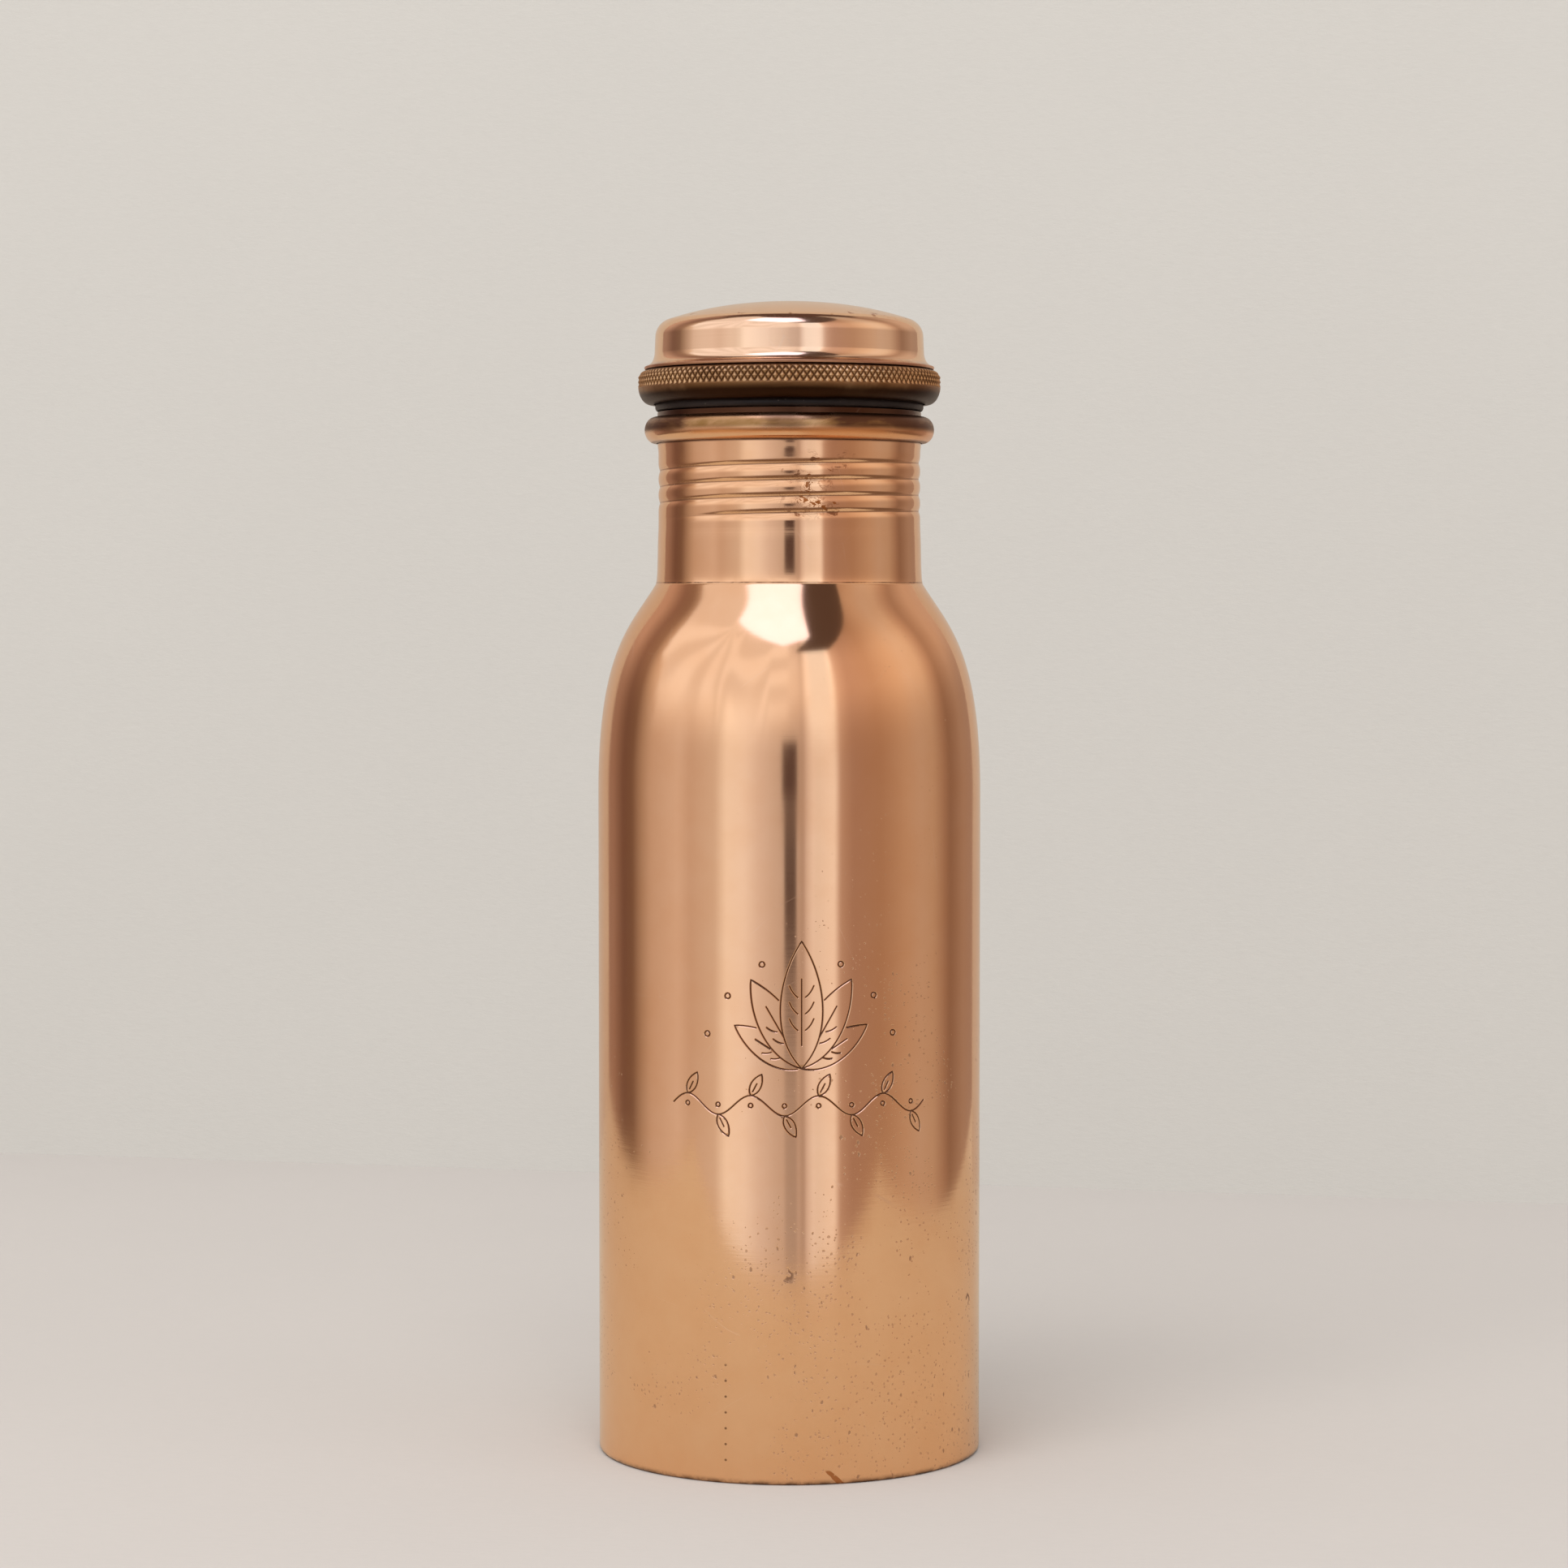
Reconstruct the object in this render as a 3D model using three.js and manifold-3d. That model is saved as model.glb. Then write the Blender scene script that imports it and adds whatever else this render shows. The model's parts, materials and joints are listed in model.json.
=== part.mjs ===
// A copper water bottle: a drawn body with a trapped base plate, a rolled-thread neck with a
// bead round its mouth, and a hollow screw cap that seals on a rubber washer.
// Units are millimetres, +Z is up, and the origin is the centre of the foot.

import * as THREE from "three";
import { mergeVertices } from "three/addons/utils/BufferGeometryUtils.js";
import Module from "manifold-3d";

const wasm = await Module();
wasm.setup();

// ---- Driving dimensions ----------------------------------------------------------------------

const FACETS = 40; // flats round every turned piece
const FIT_GAP = 0.2; // room left between pieces that are brazed or pressed together
const BODY_SHEET = 0.7; // copper sheet of the body, base and neck
const LID_SHEET = 0.6; // thinner copper sheet of the cap and its stem

const BODY_RADIUS = 36;
const FOOT_CORNER = 0.8; // radius where the wall turns in under the base
const HEM_WIDTH = 3.6; // how far the turned-in hem reaches inwards
const SHOULDER_Z = 124; // where the straight wall starts to close in
const SHOULDER_PULL = 27.5; // how long the shoulder stays near-vertical above that
const CREASE_Z = 163.7; // where the shoulder meets the neck
const CREASE_PULL = new THREE.Vector2(4.8, -8); // the shoulder's direction as it reaches the neck

const BASE_PLATE_Z = 1; // underside of the plate's rim, just above the hem
const BASE_DOME = 1.4; // how far the middle of the plate is pressed up
const BASE_DOME_RADIUS = 27;
const BASE_RIM_WIDTH = 3.6;

const NECK_RADIUS = 24.75; // the plain bands above and below the thread
const NECK_SWELL = 0.1; // the lower band is slightly barrel-shaped
const NECK_TUCK = 2.5; // length of neck hidden inside the shoulder
const THREAD_BAND_RADIUS = 24.4; // the neck's outside where the thread is rolled
const THREAD_BAND_BOTTOM_Z = 175.2;
const THREAD_BAND_TOP_Z = 187.6;
const RIM_TOP_Z = 195.6;

const PITCH = 3; // single-start, right-hand
const THREAD_PHASE_Z = 183.1; // height of a neck groove on the +X side
const THREAD_DEPTH = 0.6;
const THREAD_ROOT_HALF_WIDTH = 0.65;
const THREAD_CREST_HALF_WIDTH = 0.2;
const NECK_THREAD_TOP_TURN = 1.3; // turns counted up from the phase height
const NECK_THREAD_BOTTOM_TURN = -2.5;
const STEM_THREAD_TOP_TURN = 0.5;
const STEM_THREAD_BOTTOM_TURN = -2.5;
const THREAD_FADE_TURNS = 0.25; // each end runs out over this much of a turn
const THREAD_CLEARANCE = 0.25; // radial, between the stem's crest and the neck's root

const RIM_LIP = 0.9; // how far the neck's edge stands above the bead
const RIM_BEAD_REACH = 2.2; // how far the bead stands out from its own seat
const RIM_BEAD_HALF_HEIGHT = 2.45;

const GASKET_THICKNESS = 1.6;
const GASKET_RADIUS = 25.2;

const RING_RADIUS = 28.4;
const RING_BOTTOM = 1.5; // heights from here on are above the rim of the mouth
const RING_TOP = 7.7;
const RING_BORE_RADIUS = 24.3;
const RING_LEDGE = 3; // the counterbore that takes the stem's flange ends here

const CAP_FOOT_RADIUS = 27.1;
const CAP_WALL_RADIUS = 25.15;
const CAP_CORNER_RADIUS = 3.4;
const CAP_CORNER_HEIGHT = 14.1; // centre of the corner's arc
const CAP_TOP = 20.7; // highest point of the dome

const STEM_LENGTH = 22; // how far the stem reaches down below the rim of the mouth
const PLUG_RIM_HEIGHT = 3.5;
const PLUG_RECESS = 0.5; // the closing plate sits this far up inside the stem

// Sizes that follow from the ones above.
const neckBore = THREAD_BAND_RADIUS - BODY_SHEET;
const stemRadius = neckBore - THREAD_CLEARANCE - THREAD_DEPTH;
const stemBore = stemRadius - LID_SHEET;
const flangeRadius = GASKET_RADIUS + 0.1;
const gasketBottom = FIT_GAP;
const flangeBottom = gasketBottom + GASKET_THICKNESS + FIT_GAP;

// ---- Materials -------------------------------------------------------------------------------

const metal = (color, roughness) =>
  new THREE.MeshStandardMaterial({ color, roughness, metalness: 1 });

const polishedCopper = metal(0xd39a72, 0.18);
const innerCopper = metal(0xb5785a, 0.45);
const agedCopper = metal(0xa8744e, 0.25);
const darkBrass = metal(0x8a6642, 0.4);
const blackRubber = new THREE.MeshStandardMaterial({
  color: 0x2b2523,
  roughness: 0.6,
  metalness: 0,
});

// ---- Shape helpers ---------------------------------------------------------------------------

const at = (radius, height) => new THREE.Vector2(radius, height);

// Points on an elliptical arc in the (radius, height) plane, angles in degrees.
function arc(centre, reach, rise, fromDegrees, toDegrees, steps) {
  const from = THREE.MathUtils.degToRad(fromDegrees);
  const to = THREE.MathUtils.degToRad(toDegrees);
  const curve = new THREE.EllipseCurve(
    centre.x, centre.y, reach, rise, from, to, to < from,
  );
  return curve.getPoints(steps);
}

// Thickens an open line of points into a closed outline, on its left-hand side.
// A point on the axis stays on it.
function sheet(line, thickness) {
  const side = line.map((point, i) => {
    const before = point.clone().sub(line[Math.max(i - 1, 0)]).normalize();
    const after = line[Math.min(i + 1, line.length - 1)].clone().sub(point).normalize();
    const along = before.add(after).normalize();
    const lead = i > 0 ? point.clone().sub(line[i - 1]) : line[1].clone().sub(point);
    const mitre = along.dot(lead.normalize());
    const moved = at(-along.y, along.x).multiplyScalar(thickness / mitre).add(point);
    if (point.x === 0) moved.x = 0;
    return moved;
  });
  return [...line, ...side.reverse()];
}

// Revolves an outline round Z. An outline that is clear of the axis is closed on itself.
function turned(outline) {
  const points = [...outline];
  if (THREE.ShapeUtils.area(points) < 0) points.reverse();
  const touchesAxis = points.some((point) => point.x === 0);
  if (touchesAxis) {
    while (points[0].x !== 0 || points[points.length - 1].x !== 0) {
      points.push(points.shift());
    }
  } else {
    points.push(points[0].clone());
  }
  return new THREE.LatheGeometry(points, FACETS).rotateX(Math.PI / 2);
}

// The cross-section of a rolled thread as [radius, height] corners, between a root radius
// and a crest radius, with a foot that is buried in the wall.
function threadSection(buriedRadius, rootRadius, crestRadius) {
  return [
    at(buriedRadius, -THREAD_ROOT_HALF_WIDTH),
    at(rootRadius, -THREAD_ROOT_HALF_WIDTH),
    at(crestRadius, -THREAD_CREST_HALF_WIDTH),
    at(crestRadius, THREAD_CREST_HALF_WIDTH),
    at(rootRadius, THREAD_ROOT_HALF_WIDTH),
    at(buriedRadius, THREAD_ROOT_HALF_WIDTH),
  ];
}

// Winds a section down a right-hand helix from topTurn to bottomTurn. The part of it beyond
// fadeRadius sinks back to that radius at both ends, so that the thread runs out smoothly.
function wound(section, fadeRadius, phaseHeight, topTurn, bottomTurn) {
  const turns = topTurn - bottomTurn;
  const steps = Math.round(turns * FACETS);
  const bar = new THREE.ExtrudeGeometry(new THREE.Shape(section), {
    depth: turns,
    steps,
    bevelEnabled: false,
  });
  const outwards = Math.sign(section[2].x - section[1].x);
  const place = bar.attributes.position;
  for (let i = 0; i < place.count; i++) {
    const wounded = place.getZ(i);
    const turn = topTurn - wounded;
    const fromEnd = Math.min(wounded, turns - wounded);
    const strength = THREE.MathUtils.smoothstep(fromEnd, 0, THREAD_FADE_TURNS);
    const beyond = Math.max(0, outwards * (place.getX(i) - fadeRadius));
    const radius = place.getX(i) - outwards * beyond * (1 - strength);
    const angle = turn * 2 * Math.PI;
    place.setXYZ(
      i,
      radius * Math.cos(angle),
      radius * Math.sin(angle),
      phaseHeight + place.getY(i) + PITCH * turn,
    );
  }
  return bar;
}

function toSolid(geometry) {
  const bare = geometry.clone();
  bare.deleteAttribute("normal");
  bare.deleteAttribute("uv");
  const merged = mergeVertices(bare, 1e-3);
  return new wasm.Manifold(
    new wasm.Mesh({
      numProp: 3,
      vertProperties: merged.attributes.position.array,
      triVerts: new Uint32Array(merged.index.array),
    }),
  );
}

function toGeometry(solid) {
  const mesh = solid.getMesh();
  const geometry = new THREE.BufferGeometry();
  geometry.setAttribute("position", new THREE.BufferAttribute(mesh.vertProperties, 3));
  geometry.setIndex(new THREE.BufferAttribute(mesh.triVerts, 1));
  geometry.computeVertexNormals();
  return geometry;
}

function piece(name, geometry, material, height = 0) {
  const mesh = new THREE.Mesh(geometry, material);
  mesh.name = name;
  mesh.position.z = height;
  return mesh;
}

// ---- The bottle ------------------------------------------------------------------------------

// The wall, from the hem turned in under the base plate up to the hole for the neck.
function bodyShell() {
  const cornerCentre = at(BODY_RADIUS - FOOT_CORNER, FOOT_CORNER);
  const neckHole = NECK_RADIUS + FIT_GAP;
  const shoulder = new THREE.CubicBezierCurve(
    at(BODY_RADIUS, SHOULDER_Z),
    at(BODY_RADIUS, SHOULDER_Z + SHOULDER_PULL),
    at(neckHole, CREASE_Z).add(CREASE_PULL),
    at(neckHole, CREASE_Z),
  );
  const outside = [
    at(BODY_RADIUS - HEM_WIDTH, 0),
    ...arc(cornerCentre, FOOT_CORNER, FOOT_CORNER, -90, 0, 3),
    ...shoulder.getPoints(12),
  ];
  const shell = toSolid(turned(sheet(outside, BODY_SHEET)));
  const drill = toSolid(turned([
    at(neckHole - 5, CREASE_Z - 10),
    at(neckHole, CREASE_Z - 10),
    at(neckHole, CREASE_Z + 10),
    at(neckHole - 5, CREASE_Z + 10),
  ]));
  return toGeometry(shell.subtract(drill));
}

// A pressed disc whose rim is trapped above the body's hem.
function basePlate() {
  const rimRadius = BODY_RADIUS - BODY_SHEET - FIT_GAP;
  const underside = [
    at(rimRadius, 0),
    at(rimRadius - BASE_RIM_WIDTH, 0),
    at(BASE_DOME_RADIUS, BASE_DOME * 0.8),
    at(0, BASE_DOME),
  ];
  return turned(sheet(underside.reverse(), BODY_SHEET));
}

// The neck: two plain bands with a rolled thread between them. Rolling pushes a helical groove
// into the outside, which stands out inside as the thread that the cap's stem screws into.
function neckSleeve() {
  const bottom = CREASE_Z - NECK_TUCK;
  const swellZ = (CREASE_Z + THREAD_BAND_BOTTOM_Z) / 2;
  const outside = [
    at(NECK_RADIUS - 0.05, bottom),
    at(NECK_RADIUS, CREASE_Z),
    at(NECK_RADIUS + NECK_SWELL, swellZ),
    at(NECK_RADIUS, THREAD_BAND_BOTTOM_Z - 2.2),
    at(THREAD_BAND_RADIUS, THREAD_BAND_BOTTOM_Z),
    at(THREAD_BAND_RADIUS, THREAD_BAND_TOP_Z),
    at(NECK_RADIUS, THREAD_BAND_TOP_Z + 1.2),
    at(NECK_RADIUS, RIM_TOP_Z - 0.1),
  ];
  const tube = toSolid(turned(sheet(outside, BODY_SHEET)));
  const ridge = wound(
    threadSection(neckBore + 0.3, neckBore, neckBore - THREAD_DEPTH),
    neckBore + 0.1,
    THREAD_PHASE_Z, NECK_THREAD_TOP_TURN, NECK_THREAD_BOTTOM_TURN,
  );
  const groove = wound(
    threadSection(THREAD_BAND_RADIUS + 0.5, THREAD_BAND_RADIUS, THREAD_BAND_RADIUS - THREAD_DEPTH),
    THREAD_BAND_RADIUS + 0.1,
    THREAD_PHASE_Z, NECK_THREAD_TOP_TURN, NECK_THREAD_BOTTOM_TURN,
  );
  return toGeometry(tube.add(toSolid(ridge)).subtract(toSolid(groove)));
}

// The bead round the mouth, brazed to the outside of the neck.
function rimBead() {
  const seat = NECK_RADIUS + FIT_GAP;
  const topZ = RIM_TOP_Z - RIM_LIP;
  const centre = at(seat + 0.05, topZ - RIM_BEAD_HALF_HEIGHT);
  const outside = arc(centre, RIM_BEAD_REACH, RIM_BEAD_HALF_HEIGHT, -85, 90, 9);
  return turned([
    at(seat, outside[0].y),
    ...outside,
    at(seat, topZ),
  ]);
}

// ---- The seal and the lid. Heights are above the rim of the mouth ----------------------------

function sealWasher() {
  const bore = stemRadius + FIT_GAP;
  const edge = 0.3; // moulded edges
  return turned([
    at(bore, 0),
    at(GASKET_RADIUS - edge, 0),
    at(GASKET_RADIUS, edge),
    at(GASKET_RADIUS, GASKET_THICKNESS - edge),
    at(GASKET_RADIUS - edge, GASKET_THICKNESS),
    at(bore, GASKET_THICKNESS),
  ]);
}

// The cap's hollow stem, with the male thread outside and a flange that presses on the washer.
function threadedStem() {
  const tube = toSolid(turned([
    at(stemBore, -STEM_LENGTH),
    at(stemRadius, -STEM_LENGTH),
    at(stemRadius, flangeBottom),
    at(flangeRadius, flangeBottom),
    at(flangeRadius, flangeBottom + LID_SHEET),
    at(stemBore, flangeBottom + LID_SHEET),
  ]));
  const thread = wound(
    threadSection(stemRadius - 0.3, stemRadius, stemRadius + THREAD_DEPTH),
    stemRadius - 0.1,
    THREAD_PHASE_Z + PITCH / 2 - RIM_TOP_Z, STEM_THREAD_TOP_TURN, STEM_THREAD_BOTTOM_TURN,
  );
  return toGeometry(tube.add(toSolid(thread)));
}

// A shallow pressed cup that closes the stem's lower end.
function stemEndPlate() {
  const radius = stemBore - FIT_GAP;
  const corner = 0.8;
  const outside = [
    at(0, 0),
    ...arc(at(radius - corner, corner), corner, corner, -90, 0, 2),
    at(radius, PLUG_RIM_HEIGHT),
  ];
  return turned(sheet(outside, LID_SHEET));
}

// The grip ring. Its bore is stepped, so that it drops over the stem's flange.
function gripRing() {
  const counterbore = flangeRadius + FIT_GAP;
  const widest = at(RING_RADIUS - 2.2, RING_BOTTOM + 3.6);
  return turned([
    at(counterbore, RING_BOTTOM),
    at(counterbore + 0.7, RING_BOTTOM),
    ...arc(widest, 2.2, 3.6, -75, 0, 4),
    at(RING_RADIUS, RING_TOP - 1.4),
    at(RING_RADIUS - 0.4, RING_TOP - 0.5),
    at(RING_RADIUS - 1.1, RING_TOP),
    at(RING_BORE_RADIUS, RING_TOP),
    at(RING_BORE_RADIUS, RING_LEDGE),
    at(counterbore, RING_LEDGE),
  ]);
}

// The domed cap, pressed from sheet, with a narrow foot that lies on the grip ring.
function capShell() {
  const footTop = RING_TOP + FIT_GAP + LID_SHEET;
  const corner = at(CAP_WALL_RADIUS - CAP_CORNER_RADIUS, CAP_CORNER_HEIGHT);
  const cornerEnd = 78; // degrees, where the corner's arc runs into the dome
  const outside = [
    at(CAP_FOOT_RADIUS, footTop),
    at(CAP_WALL_RADIUS + 1, footTop + 0.3),
    at(CAP_WALL_RADIUS + 0.4, footTop + 1),
    at(CAP_WALL_RADIUS + 0.15, footTop + 2.2),
    ...arc(corner, CAP_CORNER_RADIUS, CAP_CORNER_RADIUS, 0, cornerEnd, 5),
  ];
  const edge = outside[outside.length - 1];
  const dome = new THREE.QuadraticBezierCurve(edge, at(edge.x * 0.55, CAP_TOP), at(0, CAP_TOP));
  return turned(sheet([...outside, ...dome.getPoints(4).slice(1)], LID_SHEET));
}

// ---- The assembly ----------------------------------------------------------------------------

const bottle = new THREE.Group();
bottle.add(
  piece("body_shell", bodyShell(), polishedCopper),
  piece("base_plate", basePlate(), innerCopper, BASE_PLATE_Z),
  piece("neck_sleeve", neckSleeve(), polishedCopper),
  piece("rim_bead", rimBead(), agedCopper),
);

const lid = new THREE.Group();
lid.position.z = RIM_TOP_Z;
lid.add(
  piece("seal_washer", sealWasher(), blackRubber, gasketBottom),
  piece("threaded_stem", threadedStem(), innerCopper),
  piece("stem_end_plate", stemEndPlate(), innerCopper, PLUG_RECESS - STEM_LENGTH),
  piece("grip_ring", gripRing(), darkBrass),
  piece("cap_shell", capShell(), polishedCopper),
);

const waterBottle = new THREE.Group();
waterBottle.add(bottle, lid);
export default waterBottle;
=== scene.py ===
"""The looks of a copper water bottle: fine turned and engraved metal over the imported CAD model.

Lengths are in metres and +Z is up. The engraved front faces -Y.
"""

import json
import math

import bpy
import numpy as np
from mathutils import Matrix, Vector, geometry


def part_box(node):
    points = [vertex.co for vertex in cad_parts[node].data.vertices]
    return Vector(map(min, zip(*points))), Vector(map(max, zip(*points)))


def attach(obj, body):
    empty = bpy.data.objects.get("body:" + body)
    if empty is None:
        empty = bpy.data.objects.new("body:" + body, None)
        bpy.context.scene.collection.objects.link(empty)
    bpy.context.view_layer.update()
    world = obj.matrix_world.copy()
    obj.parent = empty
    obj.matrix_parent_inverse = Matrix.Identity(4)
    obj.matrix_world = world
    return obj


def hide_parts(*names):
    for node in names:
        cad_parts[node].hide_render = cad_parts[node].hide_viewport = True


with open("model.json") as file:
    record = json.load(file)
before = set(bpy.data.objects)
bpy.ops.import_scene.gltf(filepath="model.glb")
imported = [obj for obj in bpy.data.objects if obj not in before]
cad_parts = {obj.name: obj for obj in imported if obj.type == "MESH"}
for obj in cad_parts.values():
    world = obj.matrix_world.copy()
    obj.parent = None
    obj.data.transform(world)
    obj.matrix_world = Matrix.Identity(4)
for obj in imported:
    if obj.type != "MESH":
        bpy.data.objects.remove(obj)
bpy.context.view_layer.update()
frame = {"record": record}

# ---- Sizes ----

MM = 0.001
SEGMENTS = 256  # round a plain turned piece
BODY_SHEET = 0.7 * MM
LID_SHEET = 0.6 * MM

COUPLING = frame["record"]["behaviour"]["couplings"][0]
PITCH = COUPLING["ratio"] * 2 * math.pi  # the lid's rise in one turn
THREAD_PHASE_Z = 183.1 * MM  # height of a neck groove on the +X side
THREAD_DEPTH = 0.6 * MM
NECK_THREAD_TURNS = (-2.5, 1.3)  # counted up from the phase height
STEM_THREAD_TURNS = (-2.5, 0.5)
THREAD_FADE_TURNS = 0.25  # each end runs out over this much of a turn

KNURLS = 138  # diamonds round the grip ring
KNURL_SAMPLES = 12  # columns of the mesh across one of them
KNURL_HEIGHT = 1.75 * MM
KNURL_DEPTH = 0.34 * MM

STEM_RADIUS = 22.85 * MM  # the cap's stem under its thread
PLAIN_WEAR = 0.5  # how rubbed the grip ring is where it has no knurl

STROKE_WIDTH = 0.42 * MM  # of an engraved line
STROKE_DEPTH = 0.16 * MM
MOTIF_TURN = math.radians(3.5)  # the motif stands a little to the right of the front
MOTIF_HEIGHT = 76 * MM  # foot of the plant, at the top of the border


# ---- Outlines, as lists of (radius, height) ----


def arc(centre, radius, start, end, steps, rise=None):
    """Points on an arc, angles in degrees. With rise it is part of an ellipse that tall."""
    angles = np.radians(np.linspace(start, end, steps + 1))
    across, up = np.cos(angles) * radius, np.sin(angles) * (rise or radius)
    return [(centre[0] + a, centre[1] + u) for a, u in zip(across, up)]


def bezier(points, steps):
    """Points on a Bezier curve of any degree."""
    degree = len(points) - 1
    t = np.linspace(0, 1, steps + 1)[:, None]
    total = 0
    for k, point in enumerate(points):
        total = total + math.comb(degree, k) * (1 - t) ** (degree - k) * t**k * np.array(point)
    return [tuple(p) for p in total]


def spaced(start, end, step):
    """Evenly spaced points from start up to, but not including, end."""
    start, end = np.array(start), np.array(end)
    count = max(1, round(float(np.linalg.norm(end - start)) / step))
    return [tuple(start + (end - start) * k / count) for k in range(count)]


def sheet(line, thickness):
    """Thickens an open line into a closed outline on its left side, with rounded free edges."""
    points = np.array(line)
    steps = np.diff(points, axis=0)
    steps /= np.linalg.norm(steps, axis=1)[:, None]
    before = np.vstack([steps[:1], steps])
    after = np.vstack([steps, steps[-1:]])
    along = before + after
    along /= np.linalg.norm(along, axis=1)[:, None]
    stretch = thickness / np.einsum("ij,ij->i", along, after)
    left = np.stack([-along[:, 1], along[:, 0]], axis=1) * stretch[:, None]
    moved = points + left
    moved[points[:, 0] == 0, 0] = 0
    outline = [tuple(p) for p in points]
    outline += free_edge(points[-1], moved[-1], steps[-1])
    outline += [tuple(p) for p in moved[::-1]]
    outline += free_edge(moved[0], points[0], -steps[0])
    return outline


def free_edge(start, end, outwards):
    """Points that round off the edge of a sheet between two corners, or none on the axis."""
    if start[0] == 0:
        return []
    middle = (start + end) / 2
    half = np.linalg.norm(end - start) / 2
    turned_by = np.radians([45, 90, 135])
    start_side = start - middle
    return [
        tuple(middle + start_side * math.cos(a) + outwards * half * 0.6 * math.sin(a))
        for a in turned_by
    ]


# ---- Meshes ----


class Skin:
    """Points, faces, a normal for each face corner, and a material number for each face."""

    def __init__(self):
        self.points = np.zeros((0, 3))
        self.faces = []
        self.normals = []
        self.slots = []
        self.values = {}

    def add_face(self, corners, normals, slot):
        self.faces.append(corners)
        self.normals.extend(normals)
        self.slots.append(slot)

    def build(self, name, materials):
        """Makes the object, without any point that no face uses."""
        used = sorted({corner for face in self.faces for corner in face})
        place = {old: new for new, old in enumerate(used)}
        mesh = bpy.data.meshes.new(name)
        faces = [[place[corner] for corner in face] for face in self.faces]
        mesh.from_pydata([tuple(p) for p in self.points[used]], [], faces)
        mesh.polygons.foreach_set("material_index", self.slots)
        mesh.polygons.foreach_set("use_smooth", [True] * len(faces))
        for key, values in self.values.items():
            attribute = mesh.attributes.new(key, "FLOAT", "POINT")
            attribute.data.foreach_set("value", np.asarray(values, np.float32)[used])
        for material in materials:
            mesh.materials.append(material)
        mesh.normals_split_custom_set([tuple(n) for n in self.normals])
        return added(name, mesh)


def added(name, data):
    """A new object in the scene."""
    made = bpy.data.objects.new(name, data)
    bpy.context.scene.collection.objects.link(made)
    return made


def unit(vectors):
    lengths = np.linalg.norm(vectors, axis=-1, keepdims=True)
    return vectors / np.maximum(lengths, 1e-12)


def revolved(outline, segments=SEGMENTS, relief=None, inside=(), crease=35, skip=None):
    """Revolves a closed outline, anticlockwise in the (radius, height) plane, into a Skin.

    relief(angles, profile) gives an outward push for each row and column, the name of a value
    to keep for the material, and that value. Rows in inside take the second material.
    skip(row, column) is true where a face is left out.
    """
    profile = np.array(outline)
    rows = len(profile)
    angles = np.linspace(0, 2 * math.pi, segments, endpoint=False)
    radius = np.repeat(profile[:, :1], segments, axis=1)
    height = np.repeat(profile[:, 1:], segments, axis=1)
    skin = Skin()
    if relief:
        push, name, value = relief(angles, profile)
        radius = radius + push
        skin.values[name] = value.ravel()
    grid = np.stack([radius * np.cos(angles), radius * np.sin(angles), height], axis=-1)
    skin.points = grid.reshape(-1, 3)

    forward = np.roll(grid, -1, axis=0) - grid
    around = np.roll(grid, -1, axis=1) - np.roll(grid, 1, axis=1)
    rising = np.sign(np.roll(profile[:, 0], -1) - profile[:, 0])
    after = unit(np.cross(around, forward))
    before = unit(np.cross(around, np.roll(forward, 1, axis=0)))
    lengths = np.linalg.norm(forward, axis=-1, keepdims=True)
    shared = unit(after * lengths + before * np.roll(lengths, 1, axis=0))
    flat_steps = unit(np.roll(profile, -1, axis=0) - profile)
    bend = np.einsum("ij,ij->i", flat_steps, np.roll(flat_steps, 1, axis=0))
    smooth = (bend > math.cos(math.radians(crease)))[:, None, None]
    after = np.where(smooth, shared, after)
    before = np.where(smooth, shared, before)
    on_axis = profile[:, 0] == 0
    for i in np.nonzero(on_axis)[0]:
        after[i] = (0, 0, -rising[i] if rising[i] else 0)
        before[i] = (0, 0, -rising[i - 1] if rising[i - 1] else 0)

    for i in range(rows):
        k = (i + 1) % rows
        if on_axis[i] and on_axis[k]:
            continue
        slot = 1 if i in inside else 0
        for j in range(segments):
            if skip and skip(i, j):
                continue
            n = (j + 1) % segments
            low, high = i * segments, k * segments
            corners = [low + j, low + n, high + n, high + j]
            normals = [after[i, j], after[i, n], before[k, n], before[k, j]]
            if on_axis[i]:
                corners, normals = [low, *corners[2:]], [normals[0], *normals[2:]]
            elif on_axis[k]:
                corners, normals = [*corners[:2], high], normals[:3]
            skin.add_face(corners, normals, slot)
    skin.profile, skin.angles = profile, angles
    return skin


# ---- Shader nodes ----


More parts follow.
